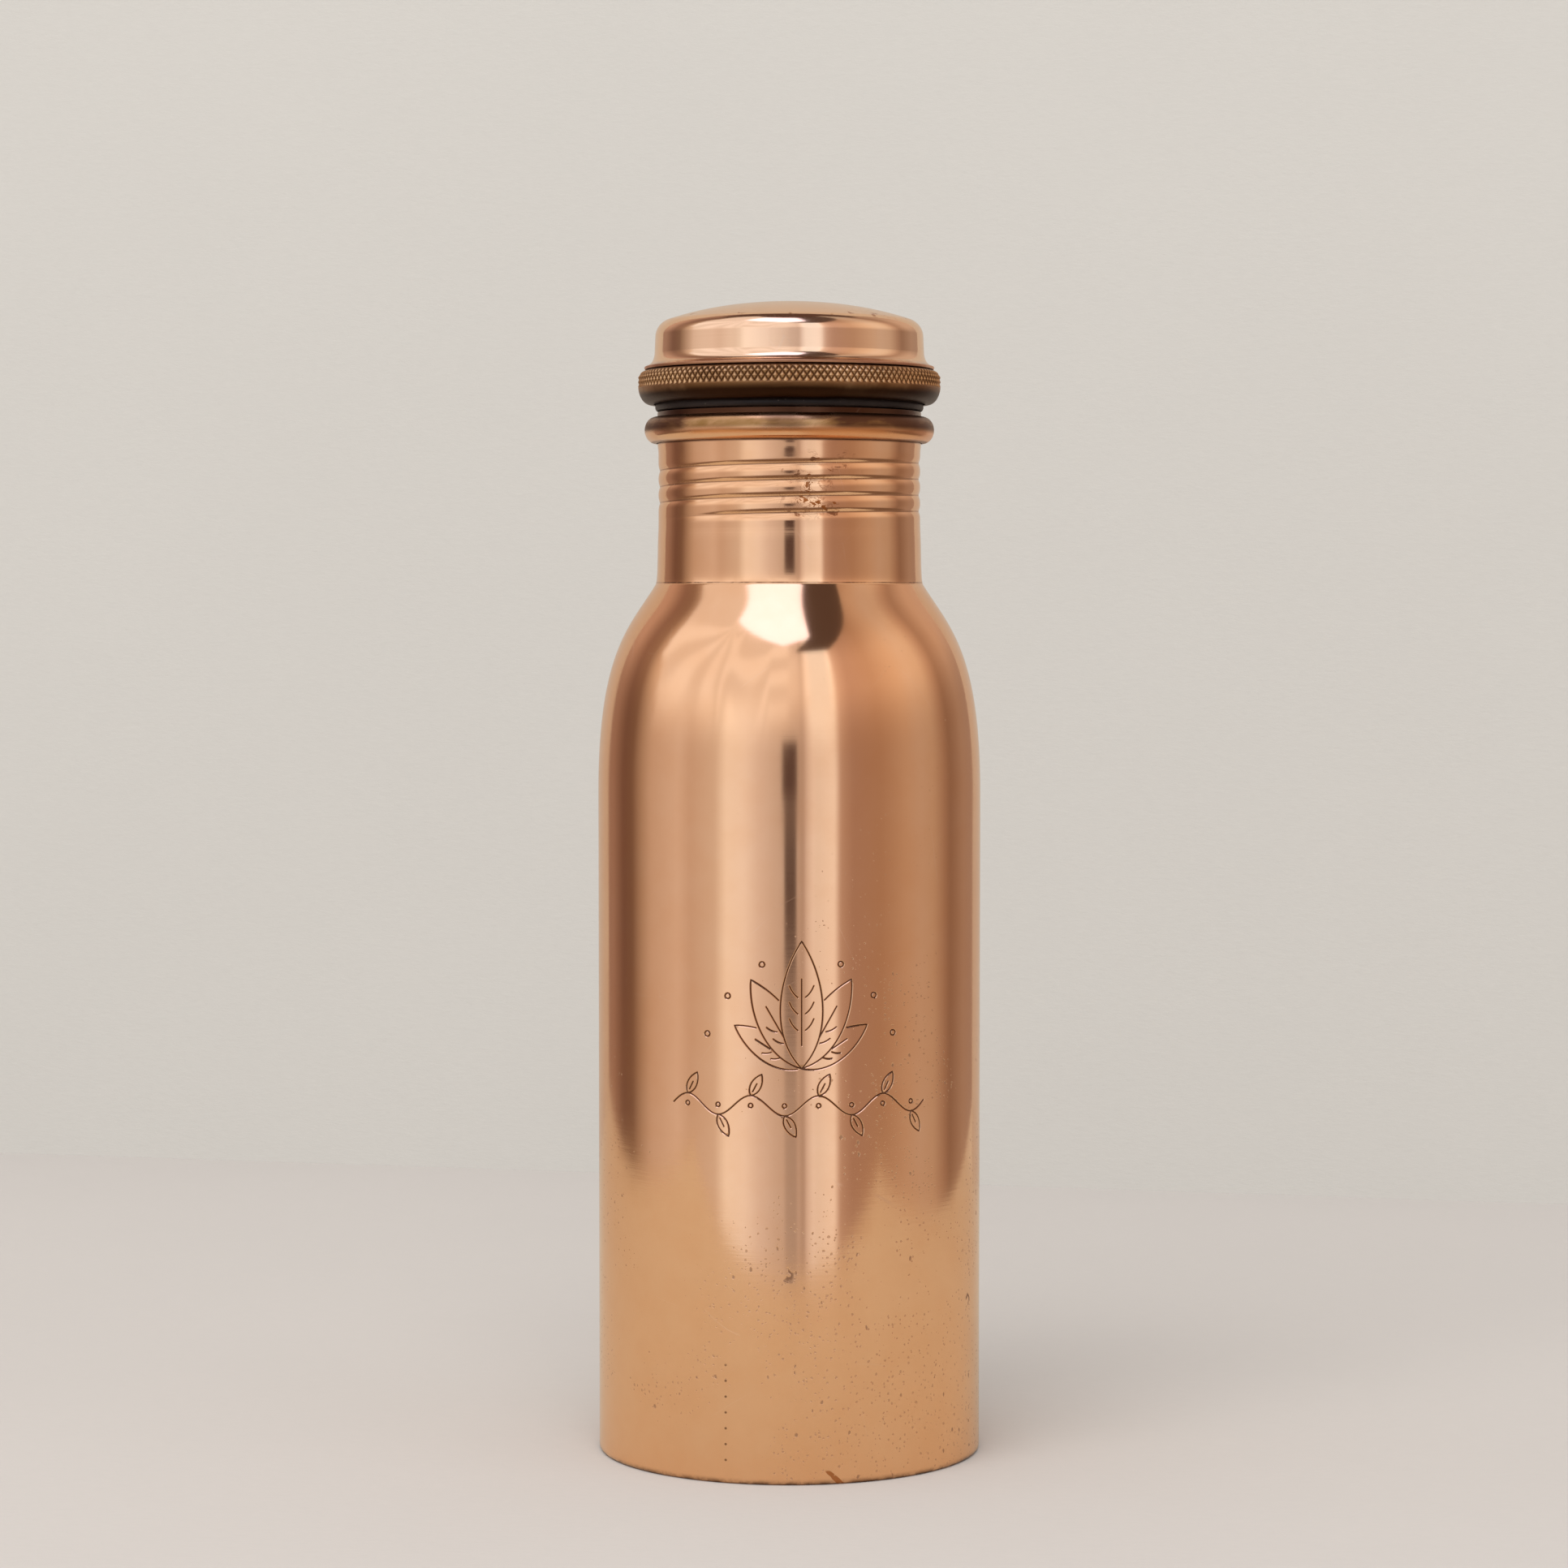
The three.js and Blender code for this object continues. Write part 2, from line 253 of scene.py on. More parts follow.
class Nodes:
    """A short way of writing the nodes of one material."""

    def __init__(self, tree):
        self.tree = tree
        tree.nodes.clear()

    def add(self, kind, inputs=(), **settings):
        node = self.tree.nodes.new("ShaderNode" + kind)
        for key, value in settings.items():
            setattr(node, key, value)
        for key, value in dict(inputs).items():
            self.put(node.inputs[key], value)
        return node

    def put(self, socket, value):
        if isinstance(value, bpy.types.NodeSocket):
            self.tree.links.new(value, socket)
        elif isinstance(value, tuple) and len(socket.default_value) == 4:
            socket.default_value = (*value[:3], 1)
        else:
            socket.default_value = value

    def math(self, operation, *values):
        node = self.add("Math", operation=operation)
        for socket, value in zip(node.inputs, values):
            self.put(socket, value)
        return node.outputs[0]

    def times(self, first, *others):
        for other in others:
            first = self.math("MULTIPLY", first, other)
        return first

    def plus(self, a, b):
        return self.math("ADD", a, b)

    def minus(self, a, b):
        return self.math("SUBTRACT", a, b)

    def size(self, value):
        return self.math("ABSOLUTE", value)

    def larger(self, a, b):
        return self.math("MAXIMUM", a, b)

    def step(self, value, start, end, low=0.0, high=1.0):
        """Goes smoothly from low to high while value goes from start to end."""
        places = {"Value": value, "From Min": start, "From Max": end, "To Min": low, "To Max": high}
        return self.add("MapRange", places, interpolation_type="SMOOTHSTEP").outputs[0]

    def between(self, value, start, end, blur):
        """1 where value lies between start and end, with soft edges."""
        rise = self.step(self.minus(value, start), -blur, blur)
        return self.times(rise, self.step(self.minus(end, value), -blur, blur))

    def near(self, value, middle, reach):
        """1 at the middle value, falling to 0 within reach on both sides."""
        return self.step(self.size(self.minus(value, middle)), reach, 0.0)

    def mix(self, factor, a, b, blend="MIX"):
        node = self.add("Mix", {0: factor, 6: a, 7: b}, data_type="RGBA", blend_type=blend)
        return node.outputs[2]

    def stretch(self, vector, scales):
        node = self.add("VectorMath", {0: vector, 1: scales}, operation="MULTIPLY")
        return node.outputs[0]

    def tall(self, vector, height_scale):
        """The vector with only its height scaled."""
        return self.stretch(vector, (1.0, 1.0, height_scale))

    def noise(self, vector, scale, detail=2.0, roughness=0.5, distortion=0.0):
        inputs = {"Vector": vector, "Scale": scale, "Detail": detail}
        inputs.update(Roughness=roughness, Distortion=distortion)
        return self.add("TexNoise", inputs).outputs[0]

    def spots(self, vector, scale, share, size, crowding=1.0):
        """A mask of round spots. share of the cells have one, up to size cells in radius.

        crowding, from 0 to 1, thins them out.
        """
        cells = self.add("TexVoronoi", {"Vector": vector, "Scale": scale})
        chance = self.add("SeparateColor", {0: cells.outputs["Color"]}).outputs[0]
        thinned = self.math("MULTIPLY_ADD", crowding, share, self.minus(chance, share))
        radius = self.step(thinned, 1 - share, 1.0, 0.0, size)
        inside = self.minus(radius, cells.outputs["Distance"])
        return self.step(inside, 0.0, size * 0.3)

    def coordinates(self):
        return self.add("TexCoord").outputs["Object"]

    def axes(self, vector):
        """The x, y and z of a vector."""
        return self.add("SeparateXYZ", {0: vector}).outputs

    def ramp(self, value, stops):
        """A colour ramp through (place, colour) stops."""
        node = self.add("ValToRGB", {0: value})
        elements = node.color_ramp.elements
        elements.remove(elements[1])
        elements[0].position = stops[0][0]
        elements[0].color = (*stops[0][1], 1)
        for place, colour in stops[1:]:
            elements.new(place).color = (*colour, 1)
        return node.outputs[0]

    def bump(self, height, distance, normal=None):
        inputs = {"Height": height, "Strength": 1.0, "Distance": distance}
        if normal:
            inputs["Normal"] = normal
        return self.add("Bump", inputs).outputs[0]

    def surface(self, shader):
        self.add("OutputMaterial", {"Surface": shader.outputs[0]})

    def principled(self, colour, rough, normal, **others):
        inputs = {"Base Color": colour, "Roughness": rough, "Normal": normal, **others}
        self.surface(self.add("BsdfPrincipled", inputs))


def material(name):
    made = bpy.data.materials.new(name)
    made.use_nodes = True
    return made, Nodes(made.node_tree)


# ---- Materials ----

COPPER = (0.93, 0.575, 0.345)
PINK_COPPER = (0.94, 0.6, 0.41)
ROSE_COPPER = (0.97, 0.68, 0.45)
DEEP_COPPER = (0.86, 0.46, 0.23)
# Dark oxide brown, also used as painted shade at the foot, the joints, the bead's underside and the
# cap's foot.
OXIDE_AND_SHADE = (0.1, 0.035, 0.018)
FLECK = (0.13, 0.045, 0.022)
UMBER = (0.28, 0.11, 0.045)
RUST = (0.42, 0.14, 0.035)
OLIVE = (0.28, 0.15, 0.042)
AMBER = (0.8, 0.34, 0.13)
SMOKE = (0.115, 0.048, 0.028)


def specks(n, at, amount):
    """A mask of the dark flecks that drinking copper gets, most of them low and to the right."""
    x, _, z = n.axes(at)
    low = n.step(z, 0.13, 0.015, 0.25, 1.0)
    right = n.step(x, -0.02, 0.02, 0.45, 1.0)
    patches = n.step(n.noise(at, 45, 3.0), 0.38, 0.6, 0.25, 1.0)
    crowding = n.math("MINIMUM", 1.0, n.times(n.times(low, right), n.times(patches, amount)))
    drift = n.add("TexNoise", {"Vector": at, "Scale": 700.0}).outputs[1]
    bent = n.add("Mix", {0: 0.0008, 4: at, 5: drift}, data_type="VECTOR").outputs[1]
    dust = n.times(n.spots(bent, 1350, 0.95, 0.36, crowding), 0.36)
    flecks = n.times(n.spots(n.tall(bent, 0.6), 620, 0.45, 0.2, crowding), 0.6)
    pits = n.spots(n.tall(bent, 0.5), 250, 0.12, 0.1, crowding)
    winding = n.noise(n.tall(at, 0.7), 420, 2.0)
    thread = n.step(n.size(n.plus(winding, -0.5)), 0.055, 0.02, 0.0, 0.85)
    curls = n.times(thread, n.spots(n.tall(at, 0.8), 150, 0.22, 0.26, crowding))
    return n.larger(n.larger(dust, flecks), n.larger(pits, curls))


def scratches(n, at, scale):
    """A mask of fine hairline scratches, in two sets that lean different ways."""
    total = None
    for turn, spread in ((0.5, 0.0035), (2.1, 0.0028)):
        leaned = n.add("VectorRotate", {0: at, "Angle": turn}, rotation_type="Y_AXIS").outputs[0]
        cells = n.add("TexVoronoi", {"Vector": n.tall(leaned, 0.16), "Scale": scale},
                      feature="DISTANCE_TO_EDGE")
        line = n.step(cells.outputs[0], spread, 0.0)
        rare = n.step(n.noise(leaned, scale * 1.7, 1.0), 0.6, 0.66)
        line = n.times(line, rare)
        total = line if total is None else n.larger(total, line)
    return total


def copper(name, tone=COPPER, aged=DEEP_COPPER, gloss=0.07, turning=0.15, pitted=1.0, stains_and_painted_light=None):
    """Hand-polished copper. stains_and_painted_light(n, at) returns a list of (mask, colour) to lay
    over it: real stains, and painted shade and reflection.
    """
    made, n = material(name)
    at = n.coordinates()
    cloud = n.noise(at, 24, 4.0, 0.6)
    mottle = n.noise(at, 170, 3.0, 0.6)
    colour = n.mix(n.step(cloud, 0.35, 0.75, 0.0, 0.45), tone, aged)
    colour = n.mix(n.step(mottle, 0.3, 0.8, 0.0, 0.22), colour, aged)
    dark = specks(n, at, pitted)
    marks = scratches(n, at, 42.0)
    rough = n.plus(n.step(cloud, 0.4, 0.7, gloss, gloss + 0.05), n.times(mottle, 0.04))
    rough = n.plus(rough, n.times(marks, 0.08))
    metal = n.minus(1.0, n.times(dark, 0.3))
    # The overlays are real stains together with painted shade and a painted reflection.
    for mask, stain_and_light_colour in stains_and_painted_light(n, at) if stains_and_painted_light else ():
        colour = n.mix(mask, colour, stain_and_light_colour)
        rough = n.plus(rough, n.times(mask, 0.18))
    colour = n.mix(n.times(marks, 0.12), colour, (0.98, 0.8, 0.66))
    colour = n.mix(n.times(dark, 0.9), colour, FLECK)
    cut = n.add("Attribute", attribute_name="cut").outputs["Fac"]
    colour = n.mix(n.step(cut, 0.0, 0.8, 0.0, 0.93), colour, OXIDE_AND_SHADE)
    rough = n.plus(n.plus(rough, n.times(dark, 0.4)), n.times(cut, 0.35))
    lathe = n.noise(n.stretch(at, (14, 14, 900)), 1.6, 3.0, 0.7)
    waves = n.noise(n.tall(at, 0.7), 30, 1.0)
    normal = n.bump(waves, 0.0001)
    normal = n.bump(lathe, 0.0000025 * turning / 0.15, normal)
    normal = n.bump(n.times(dark, -1.0), 0.00004, normal)
    n.principled(colour, rough, normal, Metallic=metal)
    return made


def on_front(n, y):
    """1 on the front half and 0 on the back half."""
    return n.step(y, 0.0, -4 * MM)


def body_stains_and_shade(n, at):
    """Dark oxide along the foot with painted contact shade, painted shade in the crease along the seam,
    a leaning rusty drip and an upright row of dots.
    """
    x, y, z = n.axes(at)
    ragged = n.noise(at, 260, 4.0, 0.7)
    # Oxide and painted contact shade: the foot darkens where it meets the table.
    foot = n.times(n.near(z, 0.0, 1.3 * MM), n.step(ragged, 0.36, 0.6, 0.25, 0.9))
    crease_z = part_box("body_shell")[1].z
    # Painted shade: a dark line in the crease where the shoulder meets the neck.
    seam = n.times(n.near(z, crease_z, 0.3 * MM), n.step(ragged, 0.35, 0.6, 0.45, 0.8))
    leaned = n.plus(x, z)
    drip = n.times(n.near(z, MM, 2.4 * MM), near_line(n, leaned, y, 9.5 * MM, 0.9 * MM))
    drip = n.step(n.times(drip, n.step(n.noise(at, 520, 3.0), 0.3, 0.55)), 0.15, 0.35)
    drip = n.times(drip, 0.85)
    return [(foot, OXIDE_AND_SHADE), (seam, OXIDE_AND_SHADE), (drip, RUST), (dotted_line(n, x, y, z), OXIDE_AND_SHADE)]


def dotted_line(n, x, y, z):
    """An upright row of small dark dots near the foot, left of the front."""
    spacing, radius = 2.9 * MM, 0.28 * MM
    across = n.minus(x, -11.6 * MM)
    up = n.minus(n.math("MODULO", z, spacing), spacing / 2)
    away = n.math("SQRT", n.plus(n.times(across, across), n.times(up, up)))
    dots = n.step(away, radius, radius * 0.6)
    shown = n.times(n.step(z, 22.5 * MM, 21.5 * MM), n.step(z, 2.5 * MM, 3.0 * MM))
    return n.times(n.times(dots, shown), n.times(on_front(n, y), 0.75))


def near_line(n, x, y, across, reach):
    """1 on the front at that distance to the right of the middle, falling to 0 within reach."""
    away = n.size(n.minus(x, across))
    return n.times(n.step(away, reach, reach * 0.3), on_front(n, y))


def neck_stains_and_shade(n, at):
    """Dried drops on the front of the thread, painted shade as a dark line along each joint, and a
    painted dark lip in the gap under the washer.
    """
    x, y, z = n.axes(at)
    band = n.step(n.size(n.minus(z, 181.5 * MM)), 6.8 * MM, 5.6 * MM)
    front = near_line(n, x, y, 5.0 * MM, 9 * MM)
    drops = n.step(n.noise(n.tall(at, 1.7), 230, 2.0), 0.5, 0.56)
    curls = n.noise(n.tall(at, 1.6), 430, 3.0, 0.6, 0.6)
    outlines = n.step(n.size(n.minus(curls, 0.5)), 0.03, 0.01, 0.0, 0.3)
    blots = n.step(curls, 0.58, 0.61, 0.0, 0.9)
    tarnish = n.times(band, front, drops, n.larger(outlines, blots))
    ember = n.times(tarnish, n.step(n.noise(at, 190), 0.48, 0.54))
    # Painted shade: a dark line just under the bead's ledge.
    under_bead = n.near(z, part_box("rim_bead")[0].z, 0.42 * MM)
    ledge_shade = n.times(under_bead, n.step(curls, 0.3, 0.6, 0.85, 0.97))
    crease_z, lip_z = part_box("body_shell")[1].z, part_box("rim_bead")[1].z
    # Painted shade: a dark line in the crease where the neck meets the shoulder.
    foot = n.times(n.near(z, crease_z, 0.22 * MM), n.step(curls, 0.4, 0.62, 0.4, 0.8))
    haze = n.times(band, n.step(n.noise(at, 60, 4.0), 0.42, 0.66, 0.0, 0.5))
    # Painted shade: the neck's top edge in the gap under the washer is coloured nearly black.
    lip = n.step(z, lip_z - 0.3 * MM, lip_z + 0.1 * MM, 0.0, 0.95)
    stains_and_painted_light = [(haze, DEEP_COPPER), (ledge_shade, OXIDE_AND_SHADE), (foot, OXIDE_AND_SHADE), (tarnish, UMBER), (ember, RUST)]
    return [*stains_and_painted_light, (lip, (0.048, 0.014, 0.007))]


def bead_tarnish_shade_and_reflection(n, at):
    """Olive and smoky tarnish on the bead's upper half, an orange streak along its lower half that is a
    painted reflection, and painted shade along its underside.
    """
    x, _, z = n.axes(at)
    low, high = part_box("rim_bead")
    middle = (low.z + high.z) / 2
    clouds = n.noise(n.tall(at, 2.5), 60, 5.0, 0.65, 0.6)
    streaks = n.noise(n.tall(at, 5.0), 85, 4.0, 0.6)
    across = n.plus(x, n.times(n.plus(streaks, -0.5), 9.0 * MM))
    smoky = n.plus(n.step(across, 6.5 * MM, 10 * MM), n.step(across, -18 * MM, -20.5 * MM))
    smoky = n.plus(smoky, n.times(n.between(across, -4.5 * MM, 1.5 * MM, 1.5 * MM), 0.6))
    upper = n.step(z, middle - 0.9 * MM, middle + 0.3 * MM)
    rubbed = n.step(z, middle + 0.8 * MM, middle + 1.8 * MM, 1.0, 0.55)
    olive = n.times(upper, rubbed, n.step(clouds, 0.34, 0.56, 0.6, 0.92))
    smoke = n.times(upper, smoky, n.step(streaks, 0.3, 0.52, 0.5, 0.92))
    # Painted reflection: an orange streak along the bead's lower half.
    streak = n.near(z, middle - 0.95 * MM, 0.75 * MM)
    streak = n.times(streak, n.between(across, -19 * MM, 17 * MM, 3 * MM))
    orange = n.times(streak, n.step(clouds, 0.3, 0.5, 0.6, 0.95))
    lower = n.step(z, middle + 0.4 * MM, middle - 0.6 * MM, 0.0, 0.6)
    dull = n.times(n.step(across, MM, 6.0 * MM), lower)
    # Painted shade: the bead's underside darkens where it meets the neck.
    under = n.times(n.step(z, low.z + 0.4 * MM, low.z + 0.05 * MM), 0.8)
    return [(dull, AMBER), (olive, OLIVE), (smoke, SMOKE), (orange, AMBER), (under, OXIDE_AND_SHADE)]


def cap_stains_and_shade(n, at):
    """Painted shade as a dark line round the cap's foot, where it stands on the grip ring, and a few
    rust spots below its top edge.
    """
    z = n.axes(at)[2]
    low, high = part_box("cap_shell")
    ragged = n.noise(at, 300, 4.0, 0.7)
    # Painted shade: the cap's foot darkens where it stands on the grip ring.
    foot = n.times(n.near(z, low.z, 1.5 * MM), n.step(ragged, 0.3, 0.6, 0.3, 1.0))
    shoulder = n.times(n.near(z, high.z - 3.3 * MM, MM), n.step(ragged, 0.6, 0.64))
    return [(foot, OXIDE_AND_SHADE), (shoulder, RUST)]


def inner_copper():
    """Bare copper that water has dulled: satin, blotched and a little browned."""
    made, n = material("inner_copper")
    at = n.coordinates()
    blotches = n.noise(at, 38, 6.0, 0.65, 0.4)
    tides = n.noise(n.tall(at, 4.0), 45, 4.0)
    stops = [(0.3, (0.82, 0.5, 0.33)), (0.55, (0.68, 0.37, 0.22)), (0.72, (0.42, 0.2, 0.11))]
    colour = n.ramp(blotches, stops)
    colour = n.mix(n.step(tides, 0.52, 0.66, 0.0, 0.5), colour, (0.6, 0.3, 0.22))
    colour = n.mix(n.times(specks(n, at, 0.9), 0.8), colour, OXIDE_AND_SHADE)
    rough = n.step(blotches, 0.3, 0.75, 0.26, 0.48)
    lathe = n.noise(n.stretch(at, (14, 14, 900)), 1.2, 3.0, 0.7)
    normal = n.bump(lathe, 0.000012, n.bump(n.noise(at, 55, 2.0), 0.0002))
    n.principled(colour, rough, normal, Metallic=1.0)
    return made


def dark_brass():
    """Brass that has browned, with the knurl's crests rubbed bright, its valleys nearly black, and
    painted shade that darkens the ring's lower half to nearly black.
    """
    made, n = material("dark_brass")
    at = n.coordinates()
    z = n.axes(at)[2]
    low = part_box("grip_ring")[0]
    worn = n.add("Attribute", attribute_name="worn").outputs["Fac"]
    clouds = n.noise(at, 60, 5.0, 0.6)
    streaks = n.noise(n.tall(at, 7.0), 70, 3.0)
    body = n.mix(n.step(clouds, 0.35, 0.7), (0.27, 0.135, 0.055), (0.16, 0.075, 0.03))
    patchy = n.plus(worn, n.step(clouds, 0.3, 0.7, 0.0, 0.5))
    rubbed = n.step(patchy, 0.72, 1.25, 0.0, 0.95)
    colour = n.mix(rubbed, body, (0.7, 0.44, 0.23))
    colour = n.mix(n.step(patchy, 0.62, 0.2, 0.0, 0.92), colour, (0.045, 0.019, 0.009))
    # Painted shade: the ring's lower half darkens to nearly black, as the shadow under the ring.
    height = n.plus(z, n.times(n.plus(clouds, -0.5), 1.2 * MM))
    shade = n.step(height, low.z + 3.0 * MM, low.z + 1.5 * MM)
    colour = n.mix(n.times(shade, 0.95), colour, (0.028, 0.01, 0.005))
    warm = n.times(n.step(streaks, 0.54, 0.66, 0.0, 0.4), n.minus(1.0, shade))
    colour = n.mix(warm, colour, (0.4, 0.2, 0.08))
    rough = n.plus(n.step(worn, 0.2, 0.9, 0.42, 0.27), n.times(clouds, 0.08))
    normal = n.bump(n.noise(at, 900, 3.0), 0.00002)
    n.principled(colour, rough, normal, Metallic=1.0)
    return made


def black_rubber():
    made, n = material("black_rubber")
    at = n.coordinates()
    bloom = n.noise(n.tall(at, 3.0), 80, 4.0, 0.6)
    colour = n.mix(n.step(bloom, 0.4, 0.7), (0.012, 0.006, 0.005), (0.03, 0.019, 0.016))
    colour = n.mix(n.spots(at, 1500, 0.3, 0.25), colour, (0.08, 0.06, 0.05))
    normal = n.bump(n.noise(at, 1400, 2.0), 0.00003)
    rough = n.step(bloom, 0.3, 0.7, 0.38, 0.55)
    n.principled(colour, rough, normal, **{"Specular IOR Level": 0.3})
    return made


# ---- Engraving: strokes in the unrolled wall, as points (across, up) ----


def leaf(foot, lean, length, width):
    """A pointed leaf: its closed outline, and its midrib and veins. lean is degrees from upright."""
    along = np.array((math.sin(math.radians(lean)), math.cos(math.radians(lean))))
    across = np.array((along[1], -along[0]))
    foot = np.array(foot)
    tip = foot + along * length
    sides = []
    for side in (1, -1):
        belly = foot + along * length * 0.25 + across * width * side * 0.75
        shoulder = foot + along * length * 0.7 + across * width * side * 0.6
        sides.append(bezier([foot, belly, shoulder, tip], max(8, round(length / MM * 1.4))))
    rib = spaced(foot + along * length * 0.18, foot + along * length * 0.74, 0.8 * MM)
    return sides[0] + sides[1][-2::-1], [rib] + veins(foot, along, across, length, width)


def veins(foot, along, across, length, width):
    """Pairs of short side veins that branch off the midrib of a long leaf."""
    pairs = 3 if length > 20 * MM else 2 if length > 10 * MM else 0
    strokes = []
    for k in range(pairs):
        start = 0.3 + 0.13 * k
        for side in (1, -1):
            spread = across * side * width
            inner_end = foot + along * length * start + spread * 0.09
            bend = foot + along * length * (start + 0.03) + spread * 0.22
            outer_end = foot + along * length * (start + 0.09) + spread * 0.29
            strokes.append(bezier([inner_end, bend, outer_end], 5))
    return strokes


def covers(outline, point):
    """True where a point lies inside a closed outline."""
    inside = False
    for (ax, ay), (bx, by) in zip(outline, outline[1:] + outline[:1]):
        if (ay > point[1]) != (by > point[1]):
            if point[0] < ax + (point[1] - ay) * (bx - ax) / (by - ay):
                inside = not inside
    return inside


def uncovered(stroke, covers_over):
    """The runs of a stroke that no outline in covers_over hides."""
    runs, run = [], []
    for point in stroke:
        if any(covers(outline, point) for outline in covers_over):
            runs.append(run)
            run = []
        else:
            run.append(point)
    runs.append(run)
    return [run for run in runs if len(run) > 1]


def circle(centre, radius):
    return arc(centre, radius, 0, 360, 12)


def plant():
    """A sprig of five leaves above a border of running leaves, between two rows of dots."""
    strokes, shown = [], []
    leaves = [(0, 23.0, 7.6), (30, 18.5, 6.2), (-30, 18.5, 6.2), (58, 14.5, 5.0), (-58, 14.5, 5.0)]
    for lean, length, width in leaves:
        outline, lines = leaf((0, MOTIF_HEIGHT), lean, length * MM, width * MM)
        for line in [outline, *lines]:
            strokes += uncovered(line, shown)
        shown.append(outline)
    for side in (-1, 1):
        for across, up in ((7.2, 18.8), (13.6, 13.0), (17.6, 6.0)):
            strokes.append(circle((side * across * MM, MOTIF_HEIGHT + up * MM), 0.5 * MM))
    return strokes + border()


def border():
    """A wavy stem with a leaf on the outside of each of its bends, and a dot in the inside."""
    bends, bend_length, swing = 8, 6.2 * MM, 1.8 * MM
    middle = MOTIF_HEIGHT - 6.8 * MM
    start = -bends * bend_length / 2
    turns = [k / 10 for k in range(bends * 10 + 1)]
    strokes = [[(start + t * bend_length, middle + swing * math.sin(math.pi * t)) for t in turns]]
    for bend in range(bends):
        side = -1 if bend % 2 else 1
        across = start + (bend + 0.5) * bend_length
        outline, lines = leaf((across, middle + side * swing), 90 - side * 62, 4.4 * MM, 1.9 * MM)
        dot = circle((across, middle), 0.4 * MM)
        strokes += [outline, *lines, dot]
    return strokes


def stroke_sides(stroke):
    """The outline of a stroke: its two sides, with round ends where it isn't a closed loop."""
    points = np.array(stroke)
    closed = np.linalg.norm(points[0] - points[-1]) < 1e-7
    half = STROKE_WIDTH / 2
    if closed:
        points = points[:-1]
        along = unit(np.roll(points, -1, axis=0) - np.roll(points, 1, axis=0))
        out = np.stack([along[:, 1], -along[:, 0]], axis=1) * half
        return points, [points + out, points - out], True
    along = unit(np.gradient(points, axis=0))
    out = np.stack([along[:, 1], -along[:, 0]], axis=1) * half
    caps = []
    for end, sense in ((-1, 1), (0, -1)):
        for a in np.radians([-50, 0, 50]) * sense:
            ahead = along[end] * sense * math.cos(a) * half
            aside = -out[end] * math.sin(a)
            caps.append(points[end] + ahead + aside)
    loop = np.vstack([points + out, caps[:3], (points - out)[::-1], caps[3:]])
    return points, [loop], False


def distance_to(points, strokes):
    """How far each point is from the nearest stroke's middle line."""
    nearest = np.full(len(points), 1.0)
    for stroke in strokes:
        line = np.array(stroke)
        starts, steps = line[:-1], np.diff(line, axis=0)
        lengths = np.maximum(np.einsum("ij,ij->i", steps, steps), 1e-16)
        margin = 2 * STROKE_WIDTH
        near_enough = np.all((points > line.min(0) - margin) & (points < line.max(0) + margin), axis=1)
        chosen = points[near_enough]
        if not len(chosen):
            continue
        offset = chosen[:, None] - starts[None]
        share = np.clip(np.einsum("pij,ij->pi", offset, steps) / lengths, 0, 1)
        gap = np.linalg.norm(offset - share[..., None] * steps[None], axis=-1).min(1)
        nearest[near_enough] = np.minimum(nearest[near_enough], gap)
    return nearest


def engrave(skin, radius, rows, columns, strokes):
    """Fills the rectangle left out of the wall with one cut by V-shaped strokes."""
    segments = len(skin.angles)
    front = -math.pi / 2 + MOTIF_TURN + 2 * math.pi
    cells = [(i, j) for i in rows for j in columns]
    flat = {c: ((skin.angles[c[1]] - front) * radius, skin.profile[c[0], 1]) for c in cells}
    first_row, last_row, first, last = rows[0], rows[-1], columns[0], columns[-1]
    rim = [(first_row, j) for j in columns] + [(i, last) for i in rows[1:]]
    rim += [(last_row, j) for j in columns[-2::-1]] + [(i, first) for i in rows[-2:0:-1]]
    inner = [c for c in cells if first_row < c[0] < last_row and first < c[1] < last]
    clear = distance_to(np.array([flat[c] for c in inner]), strokes) > STROKE_WIDTH * 1.1
    points = [flat[c] for c in rim] + [flat[c] for c, keep in zip(inner, clear) if keep]
    edges = [(k, (k + 1) % len(rim)) for k in range(len(rim))]
    for stroke in strokes:
        middle, loops, closed = stroke_sides(stroke)
        for line, ring in [(middle, closed)] + [(loop, True) for loop in loops]:
            base, count = len(points), len(line)
            points += [tuple(p) for p in line]
            edges += [(base + k, base + (k + 1) % count) for k in range(count if ring else count - 1)]
    in_mm = [Vector((x / MM, y / MM)) for x, y in points]
    corners, _, faces, origins, _, _ = geometry.delaunay_2d_cdt(in_mm, edges, [], 0, 1e-4)

    corners = np.array([tuple(c) for c in corners]) * MM
    depth = STROKE_DEPTH * np.clip(1 - distance_to(corners, strokes) / (STROKE_WIDTH / 2), 0, 1)
    depth[depth < 0.06 * STROKE_DEPTH] = 0
    angle = corners[:, 0] / radius + front
    outwards = np.stack([np.cos(angle), np.sin(angle), 0 * angle], axis=1)
    placed = outwards * (radius - depth)[:, None]
    placed[:, 2] = corners[:, 1]
    base = len(skin.points)
    skin.points = np.vstack([skin.points, placed])
    skin.values["cut"] = np.concatenate([np.zeros(base), depth / STROKE_DEPTH])
    index = list(range(base, base + len(corners)))
    for k, sources in enumerate(origins):
        for source in sources:
            if source < len(rim):
                index[k] = rim[source][0] * segments + rim[source][1]
    for face in faces:
        if max(depth[list(face)]) > 0:
            a, b, c = (placed[k] for k in face)
            normals = [unit(np.cross(b - a, c - a))] * 3
        else:
            normals = [outwards[k] for k in face]
        skin.add_face([index[k] for k in face], normals, 0)


# ---- The pieces ----


